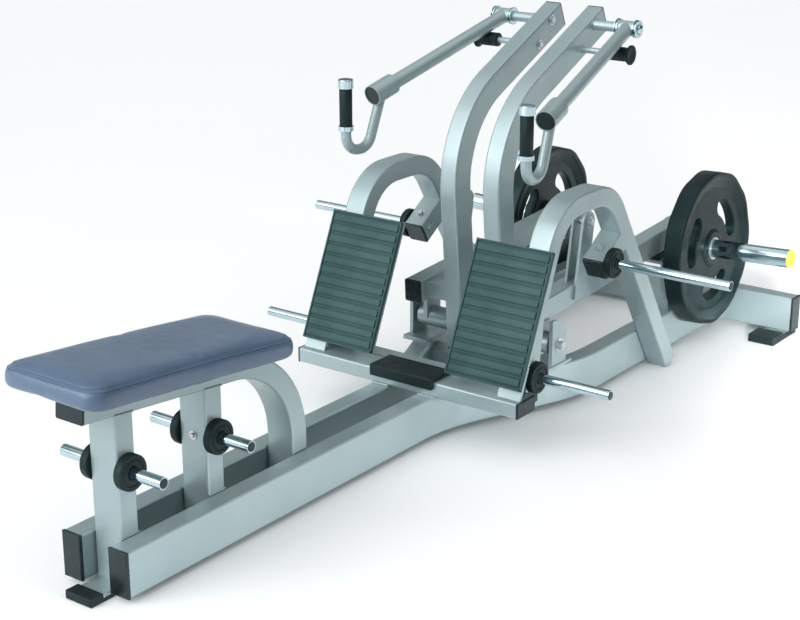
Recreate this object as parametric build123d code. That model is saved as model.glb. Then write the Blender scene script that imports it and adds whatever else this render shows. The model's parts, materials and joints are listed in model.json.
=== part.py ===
from build123d import *
import os
from math import atan2, cos, degrees, hypot, radians, sin

# Plate-loaded seated row machine. Millimetres, +Z up, floor at Z = 0.
# X is across the machine, Y runs from the seat end to the weights. While it is drawn,
# Y = 0 is at the front ends of the two floor rails; MID_Y moves the model at export.

# ---- driving dimensions ---------------------------------------------------------------
WALL = 3.0                       # steel tube wall
RAIL_W, RAIL_H = 50.0, 100.0     # floor rail section
RAIL_LIFT = 14.0                 # rails stand this far above the floor
RAIL_X_FRONT = 65.0              # rail centre line at the seat
RAIL_X_REAR = 220.0              # rail centre line at the weights
RAIL_BEND_Y = (1072.0, 1456.0)   # corners of the outward flare
RAIL_BEND_R = 500.0
RAIL_END_Y = 2238.0
RAIL_TOP = RAIL_LIFT + RAIL_H

POST_W, POST_D = 75.0, 50.0      # seat post and seat tube section
POST_Y = (57.0, 310.0)           # centres of the two straight seat posts
SEAT_SLOPE = 5.5                 # the seat falls towards the foot plates, degrees
SEAT_TUBE_R = 220.0              # bend of the seat tube's rear leg
PAD_W, PAD_L, PAD_T = 264.0, 588.0, 56.0
BOARD_T = 8.0
BOARD_INSET = 34.0

BEAM_Y, BEAM_D, BEAM_H = 1016.0, 76.0, 38.0
BEAM_HALF = 325.0
CROSS_D = 54.0
CROSS_HALF = 300.5
PLATE_X = (111.0, 326.0)         # foot plate, inner and outer edge
PLATE_FOOT = (1026.5, 180.0)     # its front face: bottom edge (Y, Z)
PLATE_HEAD = (1160.5, 486.0)     # and top edge
PLATE_STEEL_T, TREAD_T = 6.0, 13.0
RIB_COUNT, RIB_T = 12, 4.0

HOOP_X, HOOP_W, HOOP_D = 275.0, 60.0, 50.0
PIVOT_Y, PIVOT_Z = 1379.0, 171.0
SHAFT_R = 15.0
RUNNING = 0.05                   # radial clearance of the turning joints
REST_GAP = 0.4                   # daylight at a rest stop

LEVER_X, LEVER_W, LEVER_D = 64.0, 48.0, 70.0
HUB_R, HUB_BORE_R = 28.0, 20.0
HUB_X = (14.0, 200.0)
ARM_X, ARM_W, ARM_D = 172.0, 50.0, 60.0
SLEEVE_Y, SLEEVE_Z, SLEEVE_R = 2087.0, 278.0, 25.0
SLEEVE_END_X = 515.0
SLEEVE_TILT = 2.5                # the sleeves rise outwards, degrees
HANDLE_X, HANDLE_Y, HANDLE_Z = 186.0, 1725.0, 918.0
AXLE_R = 13.0
GRIP_X, GRIP_Y = 262.0, 1135.0
HANDLE_TIP = (252.0, 1237.0, 774.0)
WEIGHT_R, WEIGHT_X, WEIGHT_T = 216.0, 241.5, 54.0
HOLE_R, HOLE_W, HOLE_SWEEP = 120.0, 48.0, 44.0    # hand holes of the weight plates

ROD_R, DISC_R, DISC_T = 13.0, 38.0, 19.0
REAR_BEAM_D = 50.0
REAR_BEAM_HALF = 466.0
MID_Y = 1097.4

nodes = {}


# ---- helpers ----------------------------------------------------------------------------
def block(x, y, z):
    """Box between two X, two Y and two Z values."""
    size = [b - a for a, b in (x, y, z)]
    centre = [(a + b) / 2 for a, b in (x, y, z)]
    return Pos(*centre) * Box(*size)


def rod(x0, x1, y, z, radius):
    """Round bar across the machine."""
    return Pos((x0 + x1) / 2, y, z) * Rot(0, 90, 0) * Cylinder(radius, x1 - x0)


def ring(x0, x1, y, z, outer, inner):
    return rod(x0, x1, y, z, outer) - rod(x0, x1, y, z, inner)


def rod_between(a, b, radius):
    """Round bar from point a to point b."""
    axis = Vector(*b) - Vector(*a)
    plane = Plane(origin=a, z_dir=axis)
    return extrude(plane * Circle(radius), axis.length)


def box_tube(path, across, width, depth, corner=5.0, wall=WALL):
    """Rectangular tube along a path; width lies along the direction 'across'."""
    plane = Plane(origin=path @ 0, x_dir=across, z_dir=path % 0)
    outer = sweep(plane * RectangleRounded(width, depth, corner), path=path)
    inner_size = (width - 2 * wall, depth - 2 * wall)
    inner = sweep(plane * RectangleRounded(*inner_size, corner - wall), path=path)
    return outer - inner, outer


def side_path(x, points, radius):
    """Bent line in a plane parallel to the machine's side, from (Y, Z) points."""
    return FilletPolyline(*[(x, y, z) for y, z in points], radius=radius)


def both(shape):
    """A piece and its mirror image, as separate solids."""
    return Compound(children=[*shape.solids(), *mirror(shape, about=Plane.YZ).solids()])


def group(*shapes):
    return Compound(children=[s for shape in shapes for s in shape.solids()])


def add(name, shape):
    nodes[name] = shape


def add_pair(name, shape):
    """The same piece on the right and, mirrored, on the left."""
    add("right_" + name, shape)
    add("left_" + name, mirror(shape, about=Plane.YZ))


# ---- floor frame ------------------------------------------------------------------------
def rail():
    z = RAIL_LIFT + RAIL_H / 2
    bend_a, bend_b = RAIL_BEND_Y
    path = FilletPolyline(
        (RAIL_X_FRONT, 0, z),
        (RAIL_X_FRONT, bend_a, z),
        (RAIL_X_REAR, bend_b, z),
        (RAIL_X_REAR, RAIL_END_Y, z),
        radius=RAIL_BEND_R,
    )
    return box_tube(path, (1, 0, 0), RAIL_W, RAIL_H)


def end_cap(x, y, z, axis, lip=6.0, plug=25.0):
    """Moulded cap for a tube end: a lip over the end and a plug inside the tube.

    x, y and z are the tube's outer limits; the limit along the axis is (tube end, +1 or -1).
    """
    limits = {"x": x, "y": y, "z": z}
    end, way = limits[axis]
    lip_range = sorted((end, end + way * lip))
    plug_range = sorted((end, end - way * plug))
    lip_limits, plug_limits = dict(limits), dict(limits)
    for key, (low, high) in limits.items():
        if key != axis:
            plug_limits[key] = (low + WALL, high - WALL)
    lip_limits[axis] = lip_range
    plug_limits[axis] = plug_range
    cap = block(*[lip_limits[k] for k in "xyz"])
    far_edges = cap.edges().group_by({"x": Axis.X, "y": Axis.Y, "z": Axis.Z}[axis])
    cap = fillet(far_edges[-1 if way > 0 else 0], 2.5)
    core = block(*[plug_limits[k] for k in "xyz"])
    return cap + fillet(core.edges().filter_by({"x": Axis.X, "y": Axis.Y, "z": Axis.Z}[axis]), 2.0)


rail_tube, rail_solid = rail()
add_pair("rail", rail_tube)
rails_solid = [rail_solid, mirror(rail_solid, about=Plane.YZ)]

rail_sides = (RAIL_X_FRONT - RAIL_W / 2, RAIL_X_FRONT + RAIL_W / 2)
rail_heights = (RAIL_LIFT, RAIL_TOP)
rail_cap = end_cap(rail_sides, (0, -1), rail_heights, "y", lip=8.0)

# Rear cross beam, with its feet.
beam_y = (RAIL_END_Y, RAIL_END_Y + REAR_BEAM_D)
beam_x = (-REAR_BEAM_HALF, REAR_BEAM_HALF)
beam_path = Line((beam_x[0], sum(beam_y) / 2, 64), (beam_x[1], sum(beam_y) / 2, 64))
rear_beam, _ = box_tube(beam_path, (0, 1, 0), REAR_BEAM_D, RAIL_H)
add("rear_beam", rear_beam)
rear_cap = end_cap((REAR_BEAM_HALF, 1), beam_y, rail_heights, "x")

FOOT_PLATE_Z = (6.0, RAIL_LIFT)
rear_plate = block((392, 460), (2160, RAIL_END_Y + REAR_BEAM_D), FOOT_PLATE_Z)
rear_rubber = block((388, 464), (2134, RAIL_END_Y + REAR_BEAM_D), (0, 22))
rear_rubber = chamfer(rear_rubber.edges().group_by(Axis.Y)[0], 3.0)
rear_rubber -= block((392, 460), (2160, RAIL_END_Y + REAR_BEAM_D), FOOT_PLATE_Z)
rear_rubber -= block((380, 470), (RAIL_END_Y - 34, 2400), (RAIL_LIFT, 40))

front_plate = block((-32, 32), (-50, 100), FOOT_PLATE_Z)
front_rubber = block((-36, 36), (-58, -22), (0, 18))
front_rubber = chamfer(front_rubber.edges().group_by(Axis.Y)[0], 3.0)
front_rubber += block((-36, 36), (-22, 100), (0, FOOT_PLATE_Z[0]))
front_rubber -= front_plate
add("rubber_feet", group(front_rubber, both(rear_rubber)))


# ---- seat -------------------------------------------------------------------------------
def slope_z(y, z_at_zero):
    """Height of a line that falls rearwards with the seat."""
    return z_at_zero - y * sin(radians(SEAT_SLOPE)) / cos(radians(SEAT_SLOPE))


SEAT_LINE = 402.0                # seat tube centre line, height at Y = 0
SEAT_FRONT_Y, SEAT_LEG_Y = -42.0, 582.0
seat_path = side_path(
    0,
    [
        (SEAT_FRONT_Y, slope_z(SEAT_FRONT_Y, SEAT_LINE)),
        (SEAT_LEG_Y, slope_z(SEAT_LEG_Y, SEAT_LINE)),
        (SEAT_LEG_Y, RAIL_LIFT + 2),
    ],
    SEAT_TUBE_R,
)
seat_tube, seat_solid = box_tube(seat_path, (1, 0, 0), POST_W, POST_D)
add("seat_tube", seat_tube)

posts = []
for post_y in POST_Y:
    line = Line((0, post_y, RAIL_LIFT), (0, post_y, slope_z(post_y, SEAT_LINE)))
    tube, _ = box_tube(line, (1, 0, 0), POST_W, POST_D)
    posts.append(tube - seat_solid)

ROD_Z = (253.0, 242.0)
ROD_HALF = 138.0
rods, discs, plugs = [], [], []


def rod_plug(x_end, way, y, z, radius):
    """Domed plug in the open end of a hollow bar."""
    plug_r = radius - 2.5
    body = rod(*sorted((x_end - way * 14, x_end + way * 1.5)), y, z, plug_r)
    rim = body.edges().filter_by(GeomType.CIRCLE).sort_by(Axis.X)[-1 if way > 0 else 0]
    return chamfer(rim, 1.0)


def storage_disc(x_face, y, z, bar_r):
    """Rubber disc that keeps a stored weight plate off the frame."""
    disc = ring(x_face, x_face + DISC_T, y, z, DISC_R, bar_r)
    rim = disc.edges().filter_by(GeomType.CIRCLE).group_by(SortBy.RADIUS)[-1]
    return fillet(rim, 3.0)


for index, (post_y, rod_z) in enumerate(zip(POST_Y, ROD_Z)):
    posts[index] -= rod(-60, 60, post_y, rod_z, ROD_R)
    rods.append(ring(-ROD_HALF, ROD_HALF, post_y, rod_z, ROD_R, ROD_R - 2.5))
    discs.append(both(storage_disc(POST_W / 2, post_y, rod_z, ROD_R)))
    plugs.append(both(rod_plug(ROD_HALF, 1, post_y, rod_z, ROD_R)))

add("seat_posts", group(*posts))
add("seat_storage_bars", group(*rods))

PAD_FRONT_Y = -108.0
pad_plane = Plane(
    origin=(0, PAD_FRONT_Y, slope_z(PAD_FRONT_Y, SEAT_LINE) + POST_D / 2 / cos(radians(SEAT_SLOPE))),
    x_dir=(1, 0, 0),
    z_dir=(0, sin(radians(SEAT_SLOPE)), cos(radians(SEAT_SLOPE))),
)


def on_seat(width, start, length, low, high, corner):
    """Slab parallel to the seat, measured from the seat tube's top face."""
    sketch = Pos(0, start + length / 2) * RectangleRounded(width, length, corner)
    slab = extrude(sketch, high - low)
    return pad_plane * Pos(0, 0, low) * slab


board = on_seat(PAD_W - 2 * BOARD_INSET, BOARD_INSET, PAD_L - 2 * BOARD_INSET, 0, BOARD_T, 30)
# The cushion's cover wraps round the board's edge.
pad = on_seat(PAD_W, 0, PAD_L, 0, BOARD_T + PAD_T, 38) - board
add("seat_board", board)
add("seat_pad", pad)


# ---- foot beam and foot plates -------------------------------------------------------------
beam_heights = (RAIL_TOP, RAIL_TOP + BEAM_H)
beam_depth = (BEAM_Y, BEAM_Y + BEAM_D)
line = Line((-BEAM_HALF, sum(beam_depth) / 2, sum(beam_heights) / 2),
            (BEAM_HALF, sum(beam_depth) / 2, sum(beam_heights) / 2))
foot_beam, _ = box_tube(line, (0, 1, 0), BEAM_D, BEAM_H)
add("foot_beam", foot_beam)
foot_cap = end_cap((BEAM_HALF, 1), beam_depth, beam_heights, "x")

cross_depth = (beam_depth[1], beam_depth[1] + CROSS_D)
line = Line((-CROSS_HALF, sum(cross_depth) / 2, sum(beam_heights) / 2),
            (CROSS_HALF, sum(cross_depth) / 2, sum(beam_heights) / 2))
hoop_cross, _ = box_tube(line, (0, 1, 0), CROSS_D, BEAM_H)
cross_cap = end_cap((CROSS_HALF, 1), cross_depth, beam_heights, "x", lip=4.0)

STEP_LIP_Y = BEAM_Y - 12
step = block((-92, 92), (STEP_LIP_Y, BEAM_Y + BEAM_D - 2), (RAIL_TOP + 22, RAIL_TOP + BEAM_H + 12))
step -= block((-100, 100), (BEAM_Y, BEAM_Y + BEAM_D + 5), (RAIL_TOP, RAIL_TOP + BEAM_H))
step = fillet(step.edges().filter_by(Axis.X).group_by(Axis.Z)[-1], 4.0)
add("centre_step_pad", step)

tilt = atan2(PLATE_HEAD[0] - PLATE_FOOT[0], PLATE_HEAD[1] - PLATE_FOOT[1])
PLATE_L = hypot(PLATE_HEAD[0] - PLATE_FOOT[0], PLATE_HEAD[1] - PLATE_FOOT[1])
PLATE_MID = sum(PLATE_X) / 2
PLATE_W = PLATE_X[1] - PLATE_X[0]
# Plane on the tread's front face: x across, y up the plate, z out of the back of the plate.
plate_plane = Plane(
    origin=(PLATE_MID, PLATE_FOOT[0], PLATE_FOOT[1]),
    x_dir=(-1, 0, 0),
    z_dir=(0, cos(tilt), -sin(tilt)),
)


def on_plate(x, y, z):
    """Box in the foot plate's own plane; x from its middle, y from its bottom edge."""
    return plate_plane * block(x, y, z)


half_plate = PLATE_W / 2
tread = on_plate((-half_plate, half_plate), (0, PLATE_L), (RIB_T, TREAD_T))
pitch = PLATE_L / RIB_COUNT
for i in range(RIB_COUNT):
    tread += on_plate((-half_plate + 4, half_plate - 4), (i * pitch + 5, (i + 1) * pitch - 4), (0, RIB_T))
steel = on_plate((-half_plate, half_plate), (0, PLATE_L), (TREAD_T, TREAD_T + PLATE_STEEL_T))
add("foot_treads", both(tread))
add("foot_plates", both(steel))

# Strap from the beam up to the back of each plate, near its outer edge.
back = TREAD_T + PLATE_STEEL_T
strap = on_plate((-104, -42), (-60, 60), (back, back + 8))
strap -= block((0, 400), (900, 1300), (0, RAIL_TOP + BEAM_H))
foot_brackets = both(strap)


# ---- hoops and storage horns ----------------------------------------------------------------
HOOP_FOOT_Z = RAIL_TOP + BEAM_H
HOOP_LEAN = 33.0                 # rear leg, from vertical, degrees
HOOP_FOOT_Y, HOOP_KNEE = 1118.0, (1145.0, 330.0)
foot_lean = (HOOP_KNEE[0] - HOOP_FOOT_Y) / (HOOP_KNEE[1] - HOOP_FOOT_Z)
TRIM = 10.0                      # the leg is drawn this much too long and cut level
hoop_points = [
    (HOOP_FOOT_Y - TRIM * foot_lean, HOOP_FOOT_Z - TRIM),
    HOOP_KNEE,
    (1241.0, 560.0),
    (1474.0, 560.0),
    (1474.0 + (560.0 - RAIL_LIFT - 2) * sin(radians(HOOP_LEAN)) / cos(radians(HOOP_LEAN)), RAIL_LIFT + 2),
]
hoop_path = FilletPolyline(*[(HOOP_X, y, z) for y, z in hoop_points], radius=[150, 130, 130])
hoop, hoop_solid = box_tube(hoop_path, (1, 0, 0), HOOP_W, HOOP_D)
hoop -= block((200, 350), (1000, 1200), (RAIL_TOP, HOOP_FOOT_Z))
add_pair("hoop", hoop)

STUB_W, STUB_H, STUB_L = 58.0, 60.0, 90.0
STUB_END = (1450.5, 366.0)       # centre of the stub's free end
stub_dir = (0, cos(radians(HOOP_LEAN)), sin(radians(HOOP_LEAN)))
stub_start = (HOOP_X, STUB_END[0], STUB_END[1])
stub_far = tuple(a + (STUB_L + 50) * d for a, d in zip(stub_start, stub_dir))
stub, _ = box_tube(Line(stub_start, stub_far), (1, 0, 0), STUB_W, STUB_H)
stub -= hoop_solid
stub = sorted(stub.solids(), key=lambda s: s.center().Y)[0]

HORN_R, HORN_END_X = 12.5, 632.0
HORN_INSET = 26.0                # horn centre from the stub's free end
HORN_YZ = (STUB_END[0] + HORN_INSET * stub_dir[1], STUB_END[1] + HORN_INSET * stub_dir[2])
horn_hole = rod(HOOP_X, HOOP_X + STUB_W, *HORN_YZ, HORN_R)
stub -= horn_hole
stub_outer_x = HOOP_X + STUB_W / 2
horn = ring(HOOP_X - STUB_W / 2 + WALL, HORN_END_X, *HORN_YZ, HORN_R, HORN_R - 2.5)
add("horn_boxes", both(stub))

stub_plane = Plane(origin=stub_start, x_dir=(1, 0, 0), z_dir=tuple(-d for d in stub_dir))
stub_cap = extrude(stub_plane * RectangleRounded(STUB_W, STUB_H, 5), 6)
stub_cap = fillet(stub_cap.edges().group_by(Axis((0, 0, 0), stub_plane.z_dir))[-1], 2.5)
stub_cap += extrude(stub_plane * RectangleRounded(STUB_W - 2 * WALL, STUB_H - 2 * WALL, 2), -10)

LOW_PEG_Z = 184.0
LOW_PEG_Y = HOOP_FOOT_Y + (LOW_PEG_Z - HOOP_FOOT_Z) * foot_lean
LOW_PEG_END = 513.0
hoop_outer_x = HOOP_X + HOOP_W / 2
low_peg = ring(hoop_outer_x, LOW_PEG_END, LOW_PEG_Y, LOW_PEG_Z, HORN_R, HORN_R - 2.5)
add("storage_horns", group(both(horn), both(low_peg)))
discs.append(both(storage_disc(stub_outer_x, *HORN_YZ, HORN_R)))
discs.append(both(storage_disc(hoop_outer_x, LOW_PEG_Y, LOW_PEG_Z, HORN_R)))
plugs.append(both(rod_plug(HORN_END_X, 1, *HORN_YZ, HORN_R)))
plugs.append(both(rod_plug(LOW_PEG_END, 1, LOW_PEG_Y, LOW_PEG_Z, HORN_R)))
add("storage_discs", group(*discs))
add("storage_bar_plugs", group(*plugs))


# ---- pivot of the levers ---------------------------------------------------------------------
PIVOT_TUBE_Z = (30.0, 90.0)
pivot_tube = block((-200, 200), (PIVOT_Y - 30, PIVOT_Y + 30), PIVOT_TUBE_Z)
pivot_tube -= block((-200, 200), (PIVOT_Y - 27, PIVOT_Y + 27), (PIVOT_TUBE_Z[0] + 3, PIVOT_TUBE_Z[1] - 3))
for solid in rails_solid:
    pivot_tube -= solid
pivot_tube = sorted(pivot_tube.solids(), key=lambda s: abs(s.center().X))[0]
centre_plate = block((-8, 8), (PIVOT_Y - 34, PIVOT_Y + 34), (PIVOT_TUBE_Z[1], PIVOT_Z + 30))
centre_plate = fillet(centre_plate.edges().filter_by(Axis.X).group_by(Axis.Z)[-1], 28.0)
shaft_hole = rod(-260, 260, PIVOT_Y, PIVOT_Z, SHAFT_R)
centre_plate -= shaft_hole
add("cross_tubes", group(hoop_cross, pivot_tube))

BASE_Z = RAIL_TOP + 8
FLANGE_X = (210.0, 220.0)
base = block((150, FLANGE_X[1] + 4), (PIVOT_Y - 57, PIVOT_Y + 57), (RAIL_TOP, BASE_Z))
flange = block(FLANGE_X, (PIVOT_Y - 33, PIVOT_Y + 33), (BASE_Z, PIVOT_Z + 70))
flange = fillet(flange.edges().filter_by(Axis.X).group_by(Axis.Z)[-1].sort_by(Axis.Y)[-1], 58.0)
bracket = base + flange - shaft_hole
add("pivot_brackets", group(both(bracket), centre_plate))

SHAFT_END_X = FLANGE_X[1] + 2
shaft = rod(-SHAFT_END_X, SHAFT_END_X, PIVOT_Y, PIVOT_Z, SHAFT_R)
add("pivot_shaft", shaft)
nut = Pos(SHAFT_END_X, PIVOT_Y, PIVOT_Z) * Rot(0, 90, 0) * extrude(RegularPolygon(12, 6), 10)
washer = ring(FLANGE_X[1], SHAFT_END_X, PIVOT_Y, PIVOT_Z, 20, SHAFT_R)


# ---- rest stops of the weight arms ----------------------------------------------------------
ARM_SLOPE = 3.6
ARM_FRONT_Y, ARM_REAR_Y = 1296.0, 2060.0
ARM_FRONT_Z = 261.0


def arm_z(y, offset=0.0):
    """Height of the weight arm's centre line, or of a line offset square to it."""
    centre = ARM_FRONT_Z + (y - ARM_FRONT_Y) * sin(radians(ARM_SLOPE)) / cos(radians(ARM_SLOPE))
    return centre + offset / cos(radians(ARM_SLOPE))


STOP_Y = 1975.0
stop_plane = Plane(
    origin=(ARM_X, STOP_Y, arm_z(STOP_Y, -ARM_D / 2)),
    x_dir=(1, 0, 0),
    z_dir=(0, -sin(radians(ARM_SLOPE)), cos(radians(ARM_SLOPE))),
)
BUFFER_H = 26.0
buffer = extrude(stop_plane * Pos(0, 0, -REST_GAP) * Circle(22), -BUFFER_H)
shelf = stop_plane * Pos(9, 0, -REST_GAP - BUFFER_H - 4) * Box(76, 56, 8)
leg = block((197, 225), (STOP_Y - 25, STOP_Y + 25), (RAIL_TOP, 300)) - block(
    (200, 222), (STOP_Y - 22, STOP_Y + 22), (RAIL_TOP, 300)
)
above = stop_plane * Pos(0, 0, 100 - REST_GAP - BUFFER_H - 8) * Box(300, 300, 200)
leg -= above
add("arm_stop_buffers", both(buffer))
add("support_brackets", group(foot_brackets, both(shelf), both(leg), front_plate, both(rear_plate)))


# ---- levers -----------------------------------------------------------------------------------
lever_points = [(1364.2, 118.0), (1308.8, 713.7), (1779.4, 925.0)]
LEVER_BEND_R = 255.0
lever_path = side_path(LEVER_X, lever_points, LEVER_BEND_R)
lever, lever_solid = box_tube(lever_path, (1, 0, 0), LEVER_W, LEVER_D)
hub_hole = rod(0, 220, PIVOT_Y, PIVOT_Z, HUB_R)
axle_hole = rod(20, 110, HANDLE_Y, HANDLE_Z, AXLE_R)
BUMPER_Y, BUMPER_Z, BUMPER_ROD_R, BUMPER_R = 1667.0, 862.0, 8.0, 18.0
BUMPER_X = (166.0, 226.0, 232.0)  # roller start, flange start, flange end
bumper_hole = rod(20, 110, BUMPER_Y, BUMPER_Z, BUMPER_ROD_R)
lever -= hub_hole
lever -= axle_hole
lever -= bumper_hole
add_pair("lever", lever)

hub = ring(*HUB_X, PIVOT_Y, PIVOT_Z, HUB_R, HUB_BORE_R)
gusset = block((ARM_X - 6, ARM_X + 6), (PIVOT_Y - 30, PIVOT_Y + 30), (PIVOT_Z, 320))
gusset -= hub_hole
arm_path = Line((ARM_X, ARM_FRONT_Y, arm_z(ARM_FRONT_Y)), (ARM_X, ARM_REAR_Y, arm_z(ARM_REAR_Y)))
arm, arm_solid = box_tube(arm_path, (1, 0, 0), ARM_W, ARM_D)
gusset -= arm_solid
gusset = sorted(gusset.solids(), key=lambda s: s.center().Z)[0]
link_y, link_z = 1342.0, 264.0
link = block((60, 180), (link_y - 25, link_y + 25), (link_z - 20, link_z + 20))
link -= block((60, 180), (link_y - 22, link_y + 22), (link_z - 17, link_z + 17))
link -= lever_solid
link -= arm_solid
link = sorted(link.solids(), key=lambda s: abs(s.center().X - 118))[0]
add_pair("lever_hub", group(hub + gusset, link))

# Twin lug plates that stand up from the weight arm and carry a cross bolt.
LUG_TOP = (1535.0, 453.0)
LUG_FOOT_Y, LUG_HALF, LUG_T = 1503.0, 28.0, 7.0
ARM_OUTER_X = ARM_X + ARM_W / 2


def lug(x0, foot_z):
    top_y, top_z = LUG_TOP
    outline = Polyline(
        (LUG_FOOT_Y - LUG_HALF, foot_z),
        (LUG_FOOT_Y + LUG_HALF, foot_z),
        (top_y + LUG_HALF, top_z),
        (top_y - LUG_HALF, top_z),
        close=True,
    )
    face = Plane.YZ * make_face(outline) + Plane.YZ * Pos(top_y, top_z) * Circle(LUG_HALF)
    plate = Pos(x0, 0, 0) * extrude(face, LUG_T)
    return plate - rod(x0 - 1, x0 + LUG_T + 1, top_y, top_z, 8)


outer_lug = lug(ARM_OUTER_X, 262.0)
inner_lug = lug(ARM_OUTER_X - 29, 262.0) - arm_solid
inner_lug = sorted(inner_lug.solids(), key=lambda part: -part.volume)[0]


bushing = ring(HUB_X[0], HUB_X[0] + 40, PIVOT_Y, PIVOT_Z, HUB_BORE_R, SHAFT_R + RUNNING)
far_bushing = ring(HUB_X[1] - 40, HUB_X[1], PIVOT_Y, PIVOT_Z, HUB_BORE_R, SHAFT_R + RUNNING)
add_pair("hub_bushings", group(bushing, far_bushing))

SLEEVE_TURN = (
    Pos(SLEEVE_END_X, SLEEVE_Y, SLEEVE_Z) * Rot(0, -SLEEVE_TILT, 0) * Pos(-SLEEVE_END_X, -SLEEVE_Y, -SLEEVE_Z)
)
SLEEVE_ROOT_Z = SLEEVE_Z - (SLEEVE_END_X - ARM_X) * sin(radians(SLEEVE_TILT))
sleeve_block = block(
    (ARM_X - ARM_W / 2, ARM_X + ARM_W / 2),
    (ARM_REAR_Y - 6, SLEEVE_Y + 33),
    (SLEEVE_ROOT_Z - 38, arm_z(ARM_REAR_Y, ARM_D / 2)),
)
sleeve_block = fillet(sleeve_block.edges().filter_by(Axis.X), 8.0)
sleeve_block -= arm_solid
sleeve_hole = SLEEVE_TURN * rod(100, 260, SLEEVE_Y, SLEEVE_Z, SLEEVE_R)
sleeve_block -= sleeve_hole
sleeve_block = sorted(sleeve_block.solids(), key=lambda s: -s.volume)[0]
add_pair("weight_arm", group(arm + sleeve_block, outer_lug, inner_lug))

arm_face = ARM_X - ARM_W / 2
sleeve = ring(arm_face + 2, SLEEVE_END_X, SLEEVE_Y, SLEEVE_Z, SLEEVE_R, SLEEVE_R - 4)
collar = ring(ARM_X + ARM_W / 2 + 2.5, WEIGHT_X - 1, SLEEVE_Y, SLEEVE_Z, 34, SLEEVE_R)
flange_disc = ring(WEIGHT_X - 12, WEIGHT_X - 1, SLEEVE_Y, SLEEVE_Z, 52, 34)
add_pair("weight_sleeve", SLEEVE_TURN * (sleeve + collar + flange_disc))
sleeve_cap = rod(SLEEVE_END_X - 20, SLEEVE_END_X, SLEEVE_Y, SLEEVE_Z, SLEEVE_R - 4)
sleeve_cap += rod(SLEEVE_END_X, SLEEVE_END_X + 6, SLEEVE_Y, SLEEVE_Z, SLEEVE_R)
sleeve_cap = fillet(sleeve_cap.edges().filter_by(GeomType.CIRCLE).sort_by(Axis.X)[-1], 2.5)
add_pair("sleeve_end_cap", SLEEVE_TURN * sleeve_cap)

# Black plugs of the lever's two ends and the arm's front end.
def path_plug(path, at_end, width, depth):
    """Cap on the end of a box tube that follows a path."""
    point = path @ (1 if at_end else 0)
    tangent = path % (1 if at_end else 0)
    way = tangent if at_end else tangent * -1
    plane = Plane(origin=point, x_dir=(1, 0, 0), z_dir=way)
    lip = extrude(plane * RectangleRounded(width, depth, 5), 5)
    lip = fillet(lip.edges().group_by(Axis((0, 0, 0), way))[-1], 2.0)
    return lip + extrude(plane * RectangleRounded(width - 2 * WALL, depth - 2 * WALL, 2), -18)


lever_plugs = [
    path_plug(lever_path, True, LEVER_W, LEVER_D),
    path_plug(lever_path, False, LEVER_W, LEVER_D),
    path_plug(arm_path, False, ARM_W, ARM_D),
]
add_pair("lever_plugs", group(*lever_plugs))
seat_cap = path_plug(seat_path, False, POST_W, POST_D)
add("tube_end_caps", group(both(rail_cap), both(rear_cap), both(foot_cap), both(cross_cap), both(stub_cap), seat_cap))

# Handle axle and the bumper rod under it, both through the lever.
axle_inner = LEVER_X - LEVER_W / 2
AXLE_SHOULDER_X, BEARING_X, AXLE_END_X = 156.0, (166.0, 208.0), 219.0
PIN_R, COLLAR_R = 9.0, 23.0
axle = rod(axle_inner, AXLE_SHOULDER_X, HANDLE_Y, HANDLE_Z, AXLE_R)
axle += rod(AXLE_SHOULDER_X, AXLE_END_X, HANDLE_Y, HANDLE_Z, PIN_R)
inner_collar = ring(AXLE_SHOULDER_X, BEARING_X[0] - 0.3, HANDLE_Y, HANDLE_Z, COLLAR_R, PIN_R)
outer_collar = ring(BEARING_X[1] + 0.3, AXLE_END_X, HANDLE_Y, HANDLE_Z, COLLAR_R, PIN_R)
axle_nut = rod(AXLE_END_X, AXLE_END_X + 7, HANDLE_Y, HANDLE_Z, 12)
axle_nut = fillet(axle_nut.edges().filter_by(GeomType.CIRCLE).sort_by(Axis.X)[-1], 3.0)
collars = [
    fillet(collar.edges().filter_by(GeomType.CIRCLE).group_by(SortBy.RADIUS)[-1], 2.5)
    for collar in (inner_collar, outer_collar)
]
bumper_bar = rod(axle_inner, BUMPER_X[1], BUMPER_Y, BUMPER_Z, BUMPER_ROD_R)
add_pair("handle_axle", group(axle, bumper_bar))
add_pair("axle_collars", group(*collars, axle_nut))
bumper = ring(*BUMPER_X[:2], BUMPER_Y, BUMPER_Z, BUMPER_R, BUMPER_ROD_R)
bumper += rod(*BUMPER_X[1:], BUMPER_Y, BUMPER_Z, 25)
add_pair("handle_bumper", bumper)


# ---- handles ------------------------------------------------------------------------------------
TUBE_R, SOCKET_R, SOCKET_L = 18.2, 26.0, 74.0
J_R = 13.0
arm_root = (HANDLE_X, HANDLE_Y, HANDLE_Z)
handle_dir = Vector(*HANDLE_TIP) - Vector(*arm_root)
unit = handle_dir.normalized()
bearing_outer = rod(*BEARING_X, HANDLE_Y, HANDLE_Z, 19)
bearing_bore = rod(BEARING_X[0] - 5, BEARING_X[1] + 5, HANDLE_Y, HANDLE_Z, PIN_R + RUNNING)
socket_start = Vector(*HANDLE_TIP) - unit * (SOCKET_L - 8)
socket_end = Vector(*HANDLE_TIP) + unit * 8
handle = rod_between(arm_root, HANDLE_TIP, TUBE_R)
handle += rod_between(socket_start, socket_end, SOCKET_R)
handle += bearing_outer
handle -= bearing_bore
plug_hole = rod_between((socket_end - unit * 16), (socket_end + unit * 2), SOCKET_R - 2)
handle -= plug_hole
j_top = Vector(*HANDLE_TIP) - unit * 30
GRIP_TOP, HOOK_LOW = 827.0, 645.0
j_path = FilletPolyline(
    tuple(j_top),
    (HANDLE_TIP[0] + 2, 1213.0, HOOK_LOW),
    (GRIP_X, GRIP_Y, HOOK_LOW),
    (GRIP_X, GRIP_Y, GRIP_TOP - 2),
    radius=42,
)
j_plane = Plane(origin=j_path @ 0, z_dir=j_path % 0)
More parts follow.
